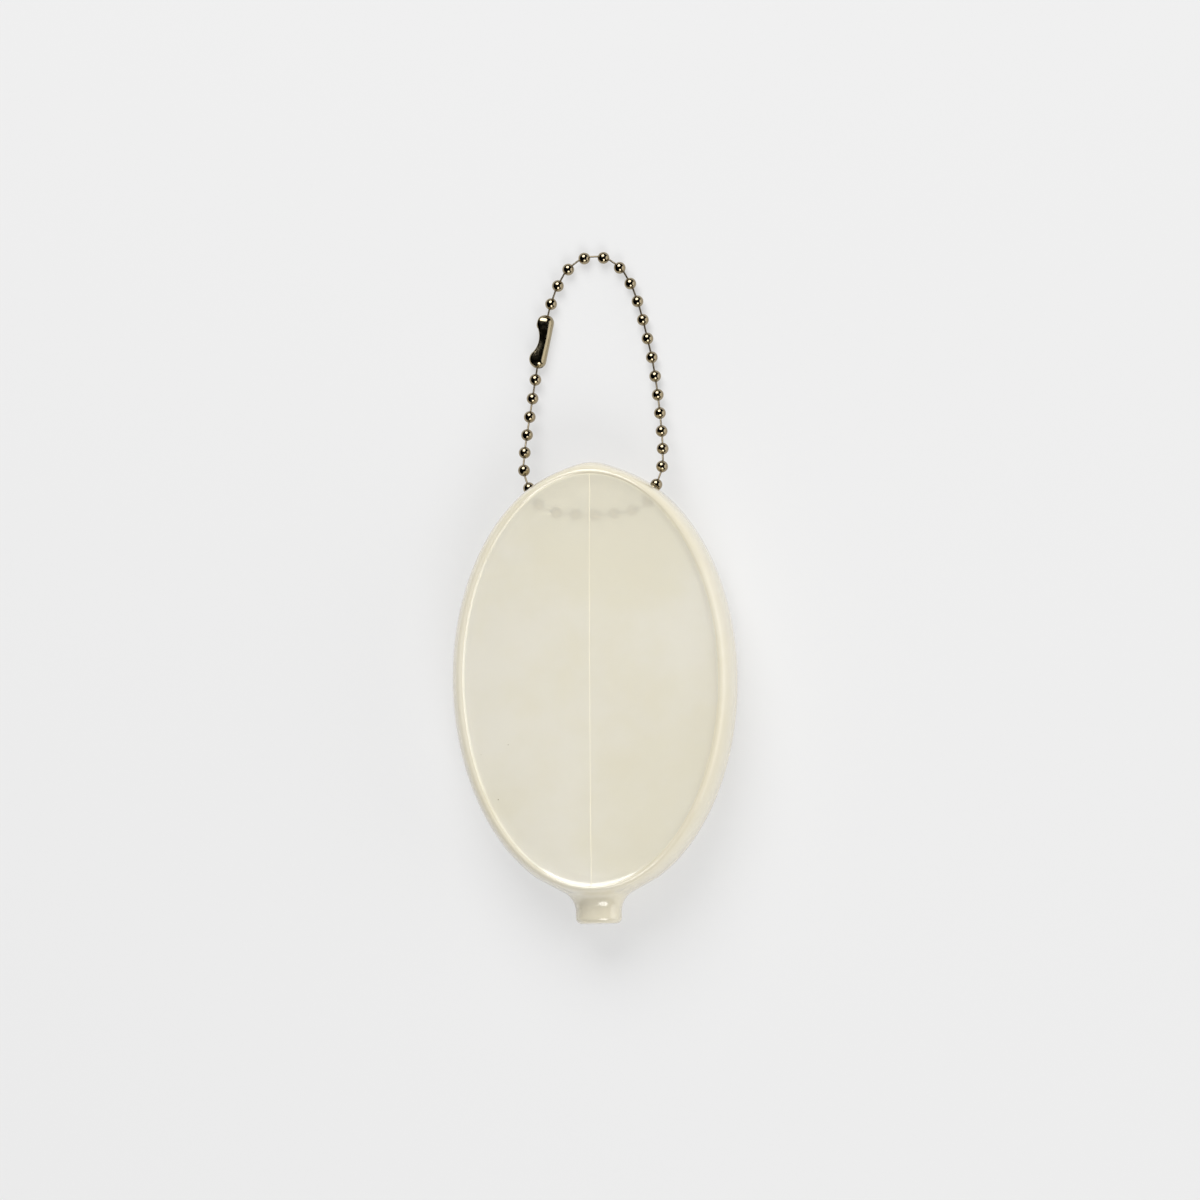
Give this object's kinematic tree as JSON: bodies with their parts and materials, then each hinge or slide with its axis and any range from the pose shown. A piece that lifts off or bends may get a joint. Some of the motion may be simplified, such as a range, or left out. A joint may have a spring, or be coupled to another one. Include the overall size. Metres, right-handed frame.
{
  "type": "coin pouch",
  "caption": "Oval squeeze coin pouch moulded in soft cream vinyl, with a slit front and a ball chain loop held by a clasp.",
  "frame": {"origin": "middle of the widest section, on the surface that the flat back lies on", "axes": "+X across the pouch, +Y towards the chain end, +Z out of the slit front"},
  "size_m": [0.0574, 0.1357, 0.016],
  "materials": {
    "vinyl": "milky translucent, semi-gloss",
    "panel": "milky translucent, semi-gloss",
    "bead_metal": "nickel plated, slightly worn",
    "pin_metal": "drawn wire",
    "clasp_metal": "nickel plated, slightly worn"
  },
  "bodies": {
    "pouch": {"shell": "vinyl", "bead_hole_left": "bead_metal", "bead_hole_right": "bead_metal", "bead_inside_1": "bead_metal", "bead_inside_2": "bead_metal", "bead_inside_3": "bead_metal", "bead_inside_4": "bead_metal", "bead_inside_5": "bead_metal", "bead_inside_6": "bead_metal", "bead_inside_7": "bead_metal", "link_pins_inside_1": "pin_metal", "link_pins_inside_2": "pin_metal", "link_pins_inside_3": "pin_metal", "link_pins_inside_4": "pin_metal"},
    "lip_left": {"lip_left": "panel"},
    "lip_right": {"lip_right": "panel"},
    "chain_row_1": {"link_pins_1": "pin_metal", "bead_right_1": "bead_metal", "bead_left_1": "bead_metal"},
    "chain_row_2": {"link_pins_2": "pin_metal", "bead_right_2": "bead_metal", "bead_left_2": "bead_metal"},
    "chain_row_3": {"link_pins_3": "pin_metal", "bead_right_3": "bead_metal", "bead_left_3": "bead_metal"},
    "chain_rows_4_to_6": {"link_pins_4": "pin_metal", "bead_right_4": "bead_metal", "bead_left_4": "bead_metal", "link_pins_5": "pin_metal", "bead_right_5": "bead_metal", "bead_left_5": "bead_metal", "link_pins_6": "pin_metal", "bead_right_6": "bead_metal", "bead_left_6": "bead_metal"},
    "chain_rows_7_to_10": {"link_pins_7": "pin_metal", "bead_right_7": "bead_metal", "bead_left_7": "bead_metal", "link_pins_8": "pin_metal", "bead_right_8": "bead_metal", "link_pins_9": "pin_metal", "bead_right_9": "bead_metal", "bead_left_9": "bead_metal", "link_pins_10": "pin_metal", "bead_right_10": "bead_metal", "bead_left_10": "bead_metal"},
    "chain_top": {"link_pins_11": "pin_metal", "bead_right_11": "bead_metal", "bead_left_11": "bead_metal", "link_pins_12": "pin_metal", "bead_right_12": "bead_metal", "bead_left_12": "bead_metal", "link_pins_13": "pin_metal", "bead_right_13": "bead_metal", "bead_left_13": "bead_metal", "link_pin_top": "pin_metal"},
    "clasp": {"clasp": "clasp_metal"}
  },
  "joints": [
    {"name": "lip_left_open", "type": "hinge", "parent": "pouch", "child": "lip_left", "pos_m": [-0.0254, 0, 0.015], "axis": [0, -1, 0], "range_deg": [0, 35], "stiffness_Nm_per_rad": 0.02},
    {"name": "lip_right_open", "type": "hinge", "parent": "pouch", "child": "lip_right", "pos_m": [0.0254, 0, 0.015], "axis": [0, 1, 0], "range_deg": [0, 35], "stiffness_Nm_per_rad": 0.02},
    {"name": "chain_lift", "type": "hinge", "parent": "pouch", "child": "chain_row_1", "pos_m": [0, 0.03993, 0.00752], "axis": [1, 0, 0], "range_deg": [-20, 20]},
    {"name": "chain_lift_2", "type": "hinge", "parent": "chain_row_1", "child": "chain_row_2", "pos_m": [0, 0.04363, 0.00653], "axis": [1, 0, 0], "range_deg": [-20, 20]},
    {"name": "chain_lift_3", "type": "hinge", "parent": "chain_row_2", "child": "chain_row_3", "pos_m": [0, 0.04734, 0.0052], "axis": [1, 0, 0], "range_deg": [-20, 20]},
    {"name": "chain_curl", "type": "hinge", "parent": "chain_row_3", "child": "chain_rows_4_to_6", "pos_m": [0, 0.05103, 0.00396], "axis": [1, 0, 0], "range_deg": [-22, 22]},
    {"name": "chain_curl_2", "type": "hinge", "parent": "chain_rows_4_to_6", "child": "chain_rows_7_to_10", "pos_m": [0, 0.06245, 0.00171], "axis": [1, 0, 0], "range_deg": [-22, 22]},
    {"name": "chain_curl_3", "type": "hinge", "parent": "chain_rows_7_to_10", "child": "chain_top", "pos_m": [0, 0.07771, 0.00156], "axis": [1, 0, 0], "range_deg": [-22, 22]},
    {"name": "clasp_release", "type": "hinge", "parent": "chain_rows_7_to_10", "child": "clasp", "pos_m": [-0.01153, 0.06523, 0.00158], "axis": [0, 0, -1], "range_deg": [0, 35]}
  ],
  "couplings": [
    {"joint": "lip_right_open", "follows": "lip_left_open", "ratio": 1},
    {"joint": "chain_lift_2", "follows": "chain_lift", "ratio": 1},
    {"joint": "chain_lift_3", "follows": "chain_lift", "ratio": 1},
    {"joint": "chain_curl_2", "follows": "chain_curl", "ratio": 1},
    {"joint": "chain_curl_3", "follows": "chain_curl", "ratio": 1}
  ]
}
